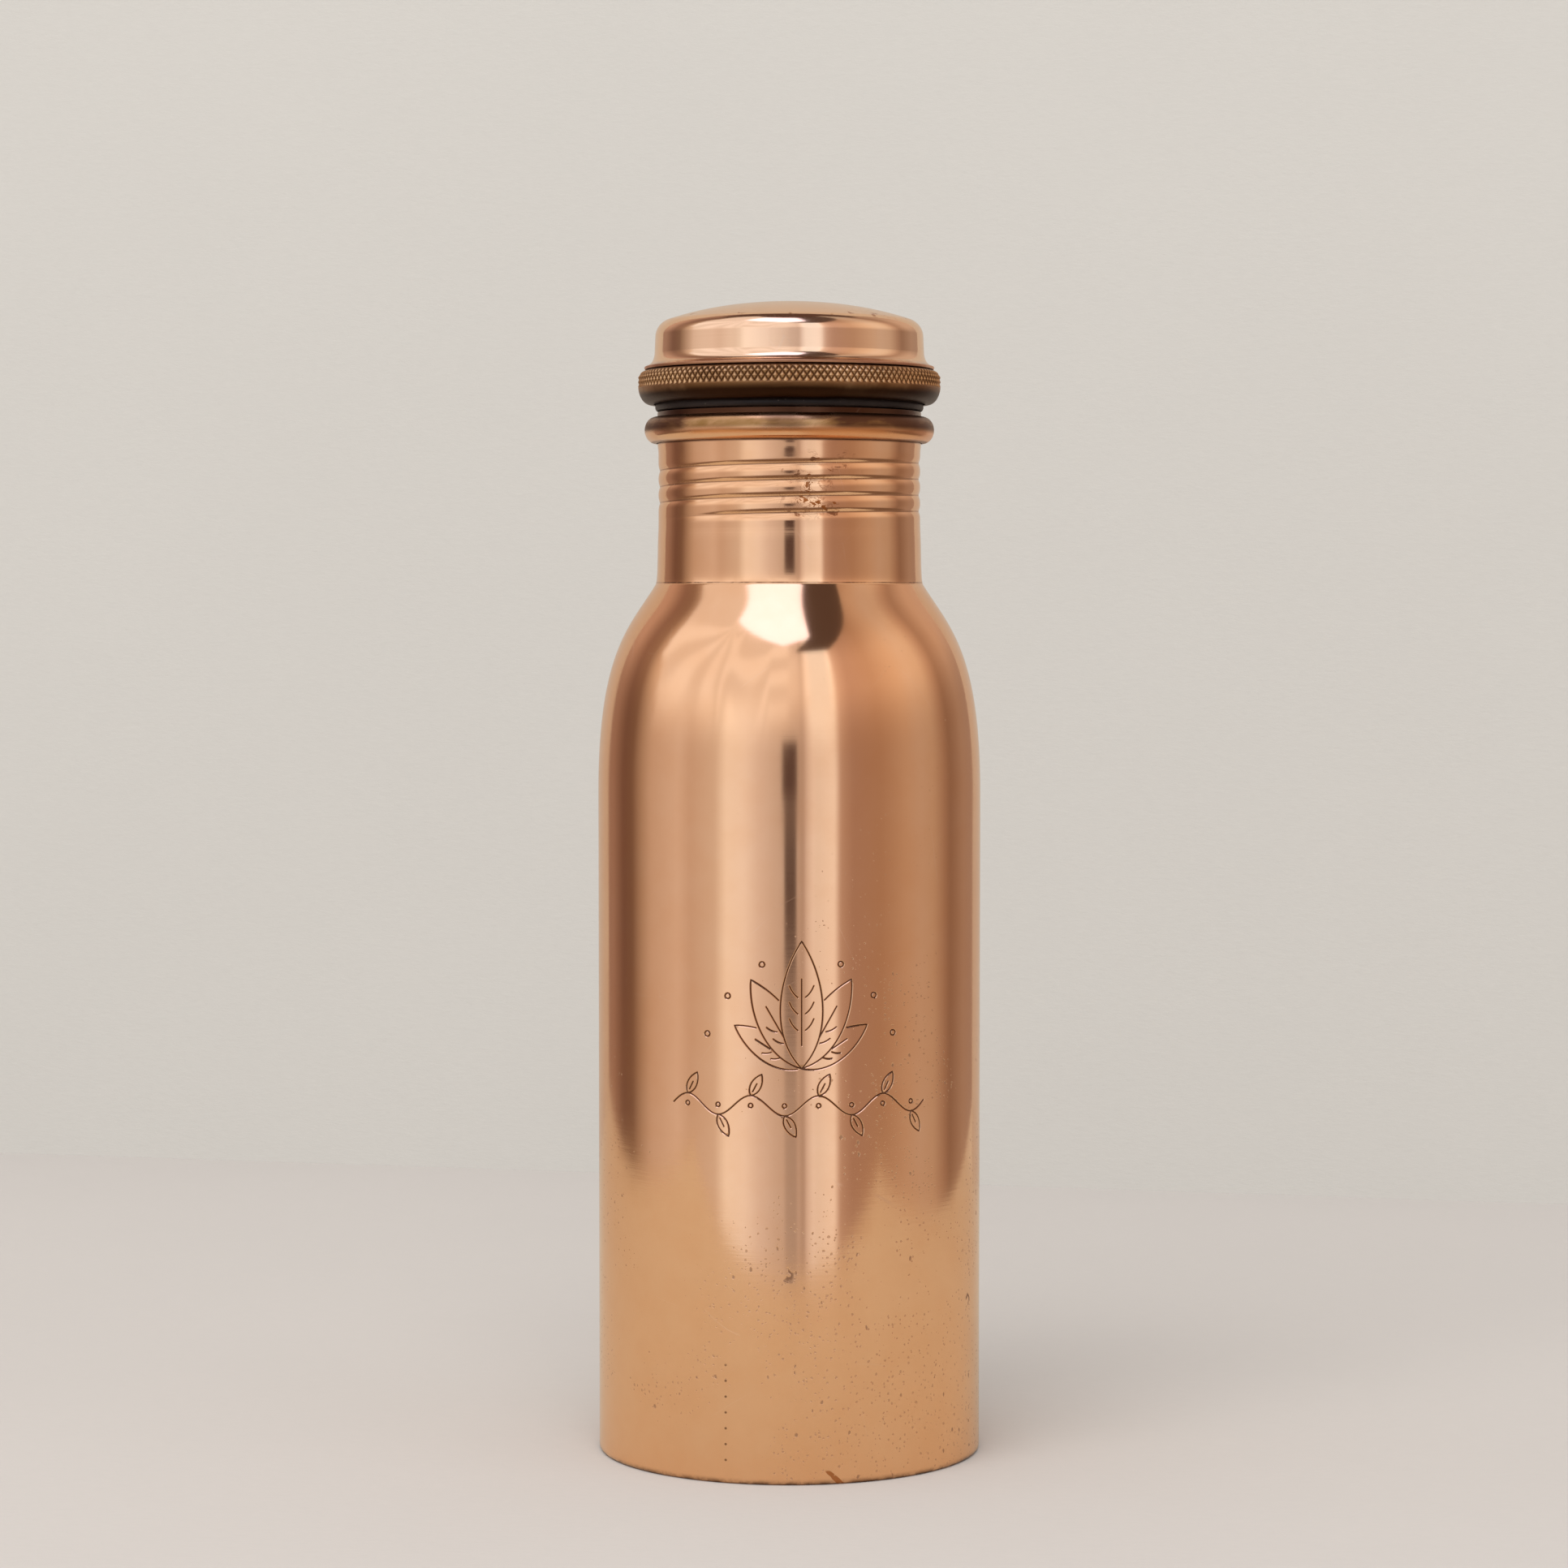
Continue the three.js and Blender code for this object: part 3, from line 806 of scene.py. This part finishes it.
def join(*stretches):
    """One line through all the stretches, without repeated points."""
    line = []
    for stretch in stretches:
        for point in stretch:
            if not line or math.dist(line[-1], point) > 1e-7:
                line.append(tuple(float(x) for x in point))
    return line


def place(skin, name, body, nodes, slot, *materials):
    piece = skin.build(name, materials)
    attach(piece, body)
    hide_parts(*nodes)


def inner_side(line):
    """Which rows of sheet(line) are on its inner side."""
    return range(len(line) + 1, 2 * len(line) + 4)


def wound(angles, heights, phase, turns):
    """For each row and column, the height away from a helix, and how much of it is there."""
    turn = angles[None, :] / (2 * math.pi)
    level = (heights[:, None] - phase) / PITCH - turn
    nearest = np.round(level)
    along = turn + nearest
    begun = np.clip((along - turns[0]) / THREAD_FADE_TURNS, 0, 1)
    there = begun * np.clip((turns[1] - along) / THREAD_FADE_TURNS, 0, 1)
    return np.abs(level - nearest) * PITCH, there * there * (3 - 2 * there)


def rolled_grooves(angles, profile):
    """The neck's rolled thread: round swells of the wall, with a narrow groove between them."""
    away, there = wound(angles, profile[:, 1], THREAD_PHASE_Z, NECK_THREAD_TURNS)
    swell = 1 - np.sqrt((away / (PITCH / 2)) ** 2 + 0.02)
    cut = 1 - np.sqrt(np.clip(1 - swell**2, 0, 1))
    cut[away > PITCH * 0.495] = 0
    return -THREAD_DEPTH * there * cut, "cut", 0.5 * there * np.clip(1 - away / (0.2 * MM), 0, 1)


def male_thread(angles, profile):
    """The stem's thread, a rounded ridge halfway between the neck's grooves."""
    phase = THREAD_PHASE_Z + PITCH / 2
    away, there = wound(angles, profile[:, 1], phase, STEM_THREAD_TURNS)
    rise = np.clip((0.75 * MM - away) / (0.6 * MM), 0, 1)
    ridge = there * rise * rise * (3 - 2 * rise)
    outer_wall = np.abs(profile[:, :1] - STEM_RADIUS) < 0.01 * MM
    ridge = np.where(outer_wall, ridge, 0)
    return THREAD_DEPTH * ridge, "worn", ridge


def body_shell(polished, dulled):
    low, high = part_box("body_shell")
    radius, crease = high.x, high.z
    corner = 0.8 * MM
    shoulder_z = 124 * MM
    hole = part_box("neck_sleeve")[1].x + 0.1 * MM
    line = join(
        [(radius - 3.6 * MM, low.z)],
        arc((radius - corner, low.z + corner), corner, -90, 0, 8),
        spaced((radius, low.z + corner), (radius, shoulder_z), 2 * MM),
        bezier([(radius, shoulder_z), (radius, shoulder_z + 27.5 * MM),
                (hole + 4.8 * MM, crease - 8 * MM), (hole, crease)], 48),
    )
    outline = sheet(line, BODY_SHEET)
    lowest, highest = MOTIF_HEIGHT - 16 * MM, MOTIF_HEIGHT + 26 * MM
    rows = [k for k in range(len(line)) if line[k][0] == radius and lowest < line[k][1] < highest]
    front = 0.75 * SEGMENTS + MOTIF_TURN / (2 * math.pi) * SEGMENTS
    columns = [k for k in range(SEGMENTS) if abs(k - front) * 2 * math.pi / SEGMENTS * radius < 30 * MM]

    def left_out(row, column):
        return rows[0] <= row < rows[-1] and columns[0] <= column < columns[-1]

    skin = revolved(outline, inside=inner_side(line), skip=left_out)
    engrave(skin, radius, rows, columns, plant())
    place(skin, "body", "bottle", ["body_shell"], "polished_copper", polished, dulled)


def base_plate(dulled):
    low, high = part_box("base_plate")
    rim_width, dome_radius = 3.6 * MM, 27 * MM
    rise = high.z - low.z - BODY_SHEET
    line = join(
        [(0.0, low.z + rise)],
        bezier([(0.0, low.z + rise), (dome_radius * 0.6, low.z + rise),
                (dome_radius * 0.9, low.z + 0.1 * rise), (high.x - rim_width, low.z)], 20),
        [(high.x, low.z)],
    )
    skin = revolved(sheet(line, BODY_SHEET))
    place(skin, "base", "bottle", ["base_plate"], "inner_copper", dulled)


def neck_sleeve(polished, dulled):
    low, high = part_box("neck_sleeve")
    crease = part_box("body_shell")[1].z
    band = high.x - 0.1 * MM
    rolled = band - 0.15 * MM
    thread_low, thread_high = 172 * MM, 190.5 * MM
    tip = (high.x + 0.28 * MM, crease - 0.22 * MM)
    waist = (band - 0.02 * MM, crease + 7.5 * MM)
    line = join(
        [(band - 0.05 * MM, low.z), (band, crease - 1.1 * MM)],
        bezier([tip, (band + 0.1 * MM, crease + 0.4 * MM),
                (band + 0.06 * MM, crease + 3 * MM), waist], 20),
        bezier([waist, (waist[0] - 0.04 * MM, thread_low + MM), (rolled, thread_low + 1.4 * MM),
                (rolled, thread_low + 3.4 * MM)], 20),
        spaced((rolled, thread_low + 3.4 * MM), (rolled, thread_high - 3.4 * MM), 0.1 * MM),
        bezier([(rolled, thread_high - 3.4 * MM), (rolled, thread_high - 1.2 * MM),
                (band, thread_high - 2.2 * MM), (band, thread_high)], 16),
        [(band, high.z)],
    )
    skin = revolved(sheet(line, BODY_SHEET), relief=rolled_grooves, inside=inner_side(line))
    place(skin, "neck", "bottle", ["neck_sleeve"], "polished_copper", polished, dulled)


def rim_bead(tarnished):
    low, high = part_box("rim_bead")
    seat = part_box("neck_sleeve")[1].x + 0.1 * MM
    middle = (low.z + high.z) / 2
    half = (high.z - low.z) / 2
    reach = high.x - seat
    outline = join(
        [(seat, low.z)],
        arc((seat + 0.25 * MM, middle), reach - 0.25 * MM, -90, 90, 40, half),
        [(seat, high.z)],
    )
    skin = revolved(outline, crease=50)
    place(skin, "bead", "bottle", ["rim_bead"], "aged_copper", tarnished)


def seal_washer(rubber):
    low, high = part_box("seal_washer")
    bulge = 0.45 * MM
    middle = (low.z + high.z) / 2
    edge = arc((high.x - bulge, middle), bulge, -90, 90, 12, (high.z - low.z) / 2)
    bore = STEM_RADIUS + 0.2 * MM
    outline = join([(bore, low.z)], edge, [(bore, high.z)])
    place(revolved(outline, crease=50), "washer", "seal", ["seal_washer"], "black_rubber", rubber)


def threaded_stem(dulled):
    low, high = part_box("threaded_stem")
    bore = STEM_RADIUS - LID_SHEET
    flange_z = high.z - LID_SHEET
    bend = 0.15 * MM
    outline = join(
        [(bore, low.z), (STEM_RADIUS - bend, low.z), (STEM_RADIUS, low.z + bend)],
        spaced((STEM_RADIUS, low.z + bend), (STEM_RADIUS, 187.5 * MM), 0.15 * MM),
        [(STEM_RADIUS, 187.5 * MM), (STEM_RADIUS, flange_z)],
        [(high.x - bend, flange_z), (high.x, flange_z + bend), (high.x, high.z)],
        [(bore + bend, high.z), (bore, high.z - bend)],
    )
    skin = revolved(outline, relief=male_thread)
    place(skin, "stem", "lid", ["threaded_stem"], "inner_copper", dulled)


def stem_end_plate(dulled):
    low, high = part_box("stem_end_plate")
    corner = 1.6 * MM
    line = join(
        [(0.0, low.z + 0.25 * MM)],
        bezier([(0.0, low.z + 0.25 * MM), (high.x * 0.5, low.z + 0.25 * MM), (high.x * 0.7, low.z)], 8),
        arc((high.x - corner, low.z + corner), corner, -90, 0, 10),
        [(high.x, high.z)],
    )
    skin = revolved(sheet(line, LID_SHEET))
    place(skin, "stem_end", "lid", ["stem_end_plate"], "inner_copper", dulled)


def knurl(angles, profile):
    """Two crossing sets of slanting grooves on the upper half of the grip ring."""
    low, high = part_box("grip_ring")
    bottom, top = low.z + 2.95 * MM, high.z - 0.1 * MM
    height = profile[:, 1:]
    round_place = KNURLS * angles[None, :] / (2 * math.pi)
    grooves = 0
    for lean in (1, -1):
        place_across = round_place + lean * height / KNURL_HEIGHT
        grooves = np.maximum(grooves, np.abs(2 * (place_across % 1) - 1))
    outside = profile[:, :1] > high.x - 1.2 * MM
    rise = np.clip((height - bottom) / (0.3 * MM), 0, 1) * np.clip((top - height) / (0.35 * MM), 0, 1)
    there = np.where(outside, rise, 0) * np.ones_like(grooves)
    worn = there * (1 - grooves) / 0.5 + (1 - there) * PLAIN_WEAR
    return -KNURL_DEPTH * there * grooves, "worn", np.clip(worn, 0, 1)


def grip_ring(brass):
    low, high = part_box("grip_ring")
    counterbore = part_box("threaded_stem")[1].x + 0.2 * MM
    ledge_z, bore = low.z + 1.5 * MM, 24.3 * MM
    widest_z = low.z + 3.6 * MM
    reach, rise = 2.2 * MM, widest_z - low.z
    lower = arc((high.x - reach, widest_z), reach, -82, -12, 11, rise)
    lower += arc((high.x - reach, widest_z), reach, -12, 0, 6, rise)[1:]
    upper_z = high.z - 1.4 * MM
    outline = join(
        [(counterbore, low.z)],
        lower,
        spaced((high.x, widest_z), (high.x, upper_z), 0.085 * MM),
        bezier([(high.x, upper_z), (high.x, high.z - 0.5 * MM), (high.x - 1.1 * MM, high.z)], 14),
        [(bore, high.z), (bore, ledge_z), (counterbore, ledge_z)],
    )
    skin = revolved(outline, segments=KNURLS * KNURL_SAMPLES, relief=knurl, crease=40)
    place(skin, "grip", "lid", ["grip_ring"], "dark_brass", brass)


def cap_shell(polished, dulled):
    low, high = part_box("cap_shell")
    wall, draft = 25.3 * MM, 3
    foot_z = low.z + LID_SHEET
    corner = 3.4 * MM
    corner_z = high.z - 6.6 * MM
    edge = arc((wall - 0.15 * MM - corner, corner_z), corner, draft, 78, 24)
    line = join(
        bezier([(high.x, foot_z), (26.1 * MM, foot_z + 0.25 * MM), (25.5 * MM, foot_z + 0.9 * MM),
                (wall, foot_z + 2.4 * MM)], 24),
        edge,
        bezier([edge[-1], (edge[-1][0] * 0.55, high.z), (0.0, high.z)], 32),
    )
    skin = revolved(sheet(line, LID_SHEET), inside=inner_side(line))
    place(skin, "cap", "lid", ["cap_shell"], "polished_copper", polished, dulled)


# ---- Stage, light and camera ----

WALL_POINT = (-0.011, 0.357)  # a point at the foot of the wall behind the bottle
WALL_TURN = math.radians(-13)
TABLE_FRONT, TABLE_LEFT, TABLE_RIGHT = -0.262, -0.41, 0.345

# What the metal mirrors round it: degrees right of the camera's side, then red, green and blue.
ROOM = [
    (-180, 0.31, 0.21, 0.17),
    (-132, 0.34, 0.23, 0.19),
    (-118, 0.18, 0.11, 0.09),
    (-108, 0.2, 0.13, 0.1),
    (-100, 0.4, 0.31, 0.26),
    (-91, 0.58, 0.485, 0.44),
    (-70, 0.7, 0.62, 0.6),
    (-61, 0.61, 0.515, 0.475),
    (-45, 0.69, 0.63, 0.61),
    (-38, 0.95, 0.96, 1.01),
    (-27, 0.92, 0.93, 1.01),
    (-18, 0.76, 0.73, 0.78),
    (-8, 0.64, 0.6, 0.62),
    (6, 0.56, 0.5, 0.5),
    (8, 0.4, 0.33, 0.31),
    (10, 0.7, 0.65, 0.68),
    (14, 0.88, 0.88, 0.96),
    (16, 0.84, 0.84, 0.9),
    (27, 0.96, 0.96, 1.03),
    (30, 0.5, 0.38, 0.34),
    (38, 0.4, 0.28, 0.24),
    (56, 0.412, 0.283, 0.217),
    (74, 0.52, 0.395, 0.318),
    (85, 0.534, 0.435, 0.38),
    (96, 0.503, 0.4, 0.334),
    (106, 0.36, 0.25, 0.2),
    (112, 0.27, 0.18, 0.14),
    (128, 0.38, 0.28, 0.23),
    (180, 0.36, 0.26, 0.21),
]


def only_in_reflections(thing, shown):
    """Shows a stage object to mirror rays alone, or to everything but them."""
    thing.visible_glossy = shown
    thing.visible_camera = not shown
    thing.visible_diffuse = not shown
    thing.visible_shadow = not shown


def tall_things(n, turn, rise, colour):
    """A pale strip of wall right of the front, and a dark column with a block in the middle."""
    strip = n.times(n.between(turn, 12.5, 26.5, 1.0), n.step(rise, 2.0, 20))
    colour = n.mix(strip, colour, (1.05, 1.12, 1.25))
    column = n.times(n.between(turn, -2.8, 4.2, 0.7), n.step(rise, -2.4, -3.6, 0.55, 1.0))
    column = n.times(column, n.times(n.step(rise, 3.0, 2.6), n.step(rise, -7.5, -4.5, 0.25, 1.0)))
    colour = n.mix(column, colour, (0.085, 0.06, 0.06))
    block = n.times(n.between(turn, -4.2, 4.6, 0.6), n.between(rise, -2.3, 7.8, 0.4))
    return n.mix(block, colour, (0.085, 0.055, 0.055))


def curtain(n, turn, rise):
    """A gathered cloth on the left: where it hangs, and the colour of its folds."""
    hook, width, top = -52.0, 46.0, 54.0  # the left hook, the span to the next, and their height
    edge = n.plus(n.times(n.noise(n.coordinates(), 0.7, 3.0), 30), -115)
    cloth = n.times(n.step(n.minus(turn, edge), 0.0, 4.0), n.step(turn, 2.0, -3.0))
    cloth = n.times(cloth, n.step(rise, 3.0, 24))
    aside, below = n.plus(turn, -hook), n.minus(top, rise)
    share = n.larger(0.0, n.math("MINIMUM", 1.0, n.times(aside, 1 / width)))
    hang = n.larger(0.5, n.times(share, n.minus(1.0, share), 4.0))
    swag = n.times(n.math("DIVIDE", below, hang), 0.24)
    fan = n.times(n.math("ARCTAN2", aside, n.larger(below, 1.0)), 11)
    drift = n.times(n.noise(n.coordinates(), 0.5, 1.0), 4.0)
    folds = n.math("SINE", n.plus(drift, n.mix(n.step(share, 0.05, 0.35), fan, swag)))
    return cloth, n.mix(n.step(folds, -0.9, 0.9), (0.88, 0.83, 0.84), (1.05, 1.03, 1.08))


def overhead(n, turn, rise, colour):
    """A bright window over the curtain, a dark patch right of it, and a ceiling dark at the back."""
    sill = n.plus(n.times(n.size(n.plus(turn, 5.0)), 0.22), 46)
    above_sill = n.step(n.minus(rise, sill), -0.8, 0.8)
    window = n.times(above_sill, n.between(turn, -54, 18, 1.2), n.step(rise, 78, 74))
    colour = n.mix(window, colour, (1.75, 1.78, 2.45))
    behind = n.times(n.step(n.size(turn), 100, 120), n.step(rise, 58, 62))
    colour = n.mix(n.larger(behind, n.step(rise, 76.5, 78)), colour, (0.1, 0.06, 0.05))
    right_side = n.plus(n.times(n.minus(rise, 42), 1.9), 30)
    left_side = n.math("MINIMUM", 17.5, n.plus(n.times(rise, 1.3), -50))
    patch = n.times(n.between(rise, 42, 80, 0.8), n.between(turn, left_side, right_side, 0.8))
    return n.mix(patch, colour, (0.1, 0.07, 0.06))


def room_pattern():
    """The colours of the room, as light that comes from each direction."""
    made, n = material("room_light")
    direction = n.add("VectorMath", {0: n.coordinates()}, operation="NORMALIZE").outputs[0]
    x, y, z = n.axes(direction)
    turn = n.times(n.math("ARCTAN2", x, n.times(y, -1.0)), 180 / math.pi)
    rise = n.times(n.math("ARCSINE", z), 180 / math.pi)
    place_in_ramp = n.plus(n.times(turn, 1 / 360), 0.5)
    colour = n.ramp(place_in_ramp, [((degrees + 180) / 360, tone) for degrees, *tone in ROOM])
    upper_half = n.times(n.step(rise, 4.0, 24), n.step(rise, 56, 32, 0.2, 1.0))
    colour = n.mix(upper_half, colour, (1.6, 1.66, 1.66), "MULTIPLY")
    colour = tall_things(n, turn, rise, colour)
    cloth, pleats = curtain(n, turn, rise)
    colour = n.mix(cloth, colour, pleats)
    bare = n.times(n.minus(1.0, cloth), n.step(rise, 60, 70))
    colour = n.mix(bare, colour, (0.56, 0.5, 0.45))
    colour = overhead(n, turn, rise, colour)
    colour = n.mix(n.step(rise, -13, -18), colour, (0.2, 0.135, 0.1))
    n.surface(n.add("Emission", {"Color": colour}))
    made.cycles.emission_sampling = "NONE"
    return made


def room_dome():
    bpy.ops.mesh.primitive_uv_sphere_add(segments=64, ring_count=32, radius=4, location=(0, 0, 0.108))
    dome = bpy.context.object
    dome.name = "room_dome"
    dome.data.materials.append(room_pattern())
    only_in_reflections(dome, True)


def pale_cloth(name, colour):
    """A pale surface with a fine weave, seen only from its front and open under the bottle."""
    made, n = material(name)
    at = n.coordinates()
    weave = n.noise(n.stretch(at, (260, 900, 900)), 1.0, 3.0, 0.7)
    blotches = n.noise(at, 5.0, 5.0, 0.6)
    tone = n.mix(n.step(blotches, 0.3, 0.7, 0.0, 0.25), colour, tuple(c * 0.93 for c in colour))
    tone = n.mix(n.step(weave, 0.3, 0.8, 0.0, 0.12), tone, tuple(c * 0.85 for c in colour))
    cloth = n.add("BsdfDiffuse", {"Color": tone, "Normal": n.bump(weave, 0.00006)})
    behind = n.add("NewGeometry").outputs["Backfacing"]
    away = n.add("VectorMath", {0: at}, operation="LENGTH").outputs["Value"]
    open_part = n.larger(behind, n.math("LESS_THAN", away, 35 * MM))
    hidden = n.add("BsdfTransparent")
    n.surface(n.add("MixShader", {0: open_part, 1: cloth.outputs[0], 2: hidden.outputs[0]}))
    return made


def panel(name, corners, cloth, colour, mirrored):
    """A flat rectangle of cloth, shown only in reflections or only outside them."""
    mesh = bpy.data.meshes.new(name)
    mesh.from_pydata(corners, [], [(0, 1, 2, 3)])
    mesh.materials.append(pale_cloth(cloth, colour))
    only_in_reflections(added(name, mesh), mirrored)


def upright(x_from, x_to, height, forward=0.0):
    """The corners of a piece of the wall between two x values, seen from the bottle."""
    corners = []
    for x, z in ((x_to, height), (x_from, height), (x_from, -0.01), (x_to, -0.01)):
        y = WALL_POINT[1] + (x - WALL_POINT[0]) * math.tan(WALL_TURN) - forward
        corners.append((x, y, z))
    return corners


def level(x_from, x_to, y_from, y_to, z):
    return [(x_from, y_from, z), (x_to, y_from, z), (x_to, y_to, z), (x_from, y_to, z)]


def stage():
    """A table and a wall, and darker copies of both for the metal to mirror."""
    near_table = level(TABLE_LEFT, TABLE_RIGHT, TABLE_FRONT, WALL_POINT[1] + 0.1, 0.2 * MM)
    near_wall = upright(-0.424, 0.251, 0.9, MM)
    panel("floor", level(-6, 6, -6, 6, 0), "table_cloth", (0.595, 0.562, 0.541), False)
    panel("near_table", near_table, "mirrored_table", (0.555, 0.497, 0.42), True)
    panel("wall", upright(-4, 4, 4), "wall_cloth", (0.597, 0.582, 0.555), False)
    panel("near_wall", near_wall, "mirrored_wall", (0.53, 0.46, 0.39), True)


def light():
    """An even pale world, and a lamp like a window at the upper left that gives soft shadows."""
    world = bpy.data.worlds.new("room")
    world.use_nodes = True
    n = Nodes(world.node_tree)
    glow = n.add("Background", {"Color": (1.0, 0.995, 0.985), "Strength": 0.85})
    n.add("OutputWorld", {"Surface": glow.outputs[0]})
    world.cycles_visibility.glossy = False
    bpy.context.scene.world = world
    key = bpy.data.lights.new("window", "AREA")
    key.shape = "RECTANGLE"
    key.size, key.size_y = 2.4, 1.8
    key.energy = 42
    key.color = (1.0, 0.97, 0.93)
    holder = added("window", key)
    holder.location = (-0.5, -1.6, 1.9)
    towards = Vector((0, 0, 0.08)) - holder.location
    holder.rotation_mode = "QUATERNION"
    holder.rotation_quaternion = towards.to_track_quat("-Z", "Y")
    holder.visible_glossy = False


def camera():
    """Looks slightly down at the bottle, from 0.77 m in front of it."""
    lens = bpy.data.cameras.new("camera")
    lens.lens, lens.sensor_width = 93.9, 36
    lens.clip_start = 0.01
    holder = added("camera", lens)
    holder.location = (-0.001, -0.771, 0.1615)
    holder.rotation_euler = (math.radians(90 - 2.654), 0, 0)
    bpy.context.scene.camera = holder


# ---- The whole scene ----

bpy.context.scene.view_settings.view_transform = "Standard"
inner = inner_copper()
camera()
light()
room_dome()
stage()
body_shell(copper("body_copper", pitted=2.2, stains_and_painted_light=body_stains_and_shade), inner)
base_plate(inner)
neck_sleeve(copper("neck_copper", turning=0.3, pitted=0.6, stains_and_painted_light=neck_stains_and_shade), inner)
rim_bead(copper("bead_copper", gloss=0.1, turning=0.4, pitted=0.4, stains_and_painted_light=bead_tarnish_shade_and_reflection))
seal_washer(black_rubber())
threaded_stem(inner)
stem_end_plate(inner)
grip_ring(dark_brass())
cap = copper("cap_copper", ROSE_COPPER, PINK_COPPER, turning=0.2, pitted=0.35, stains_and_painted_light=cap_stains_and_shade)
cap_shell(cap, inner)
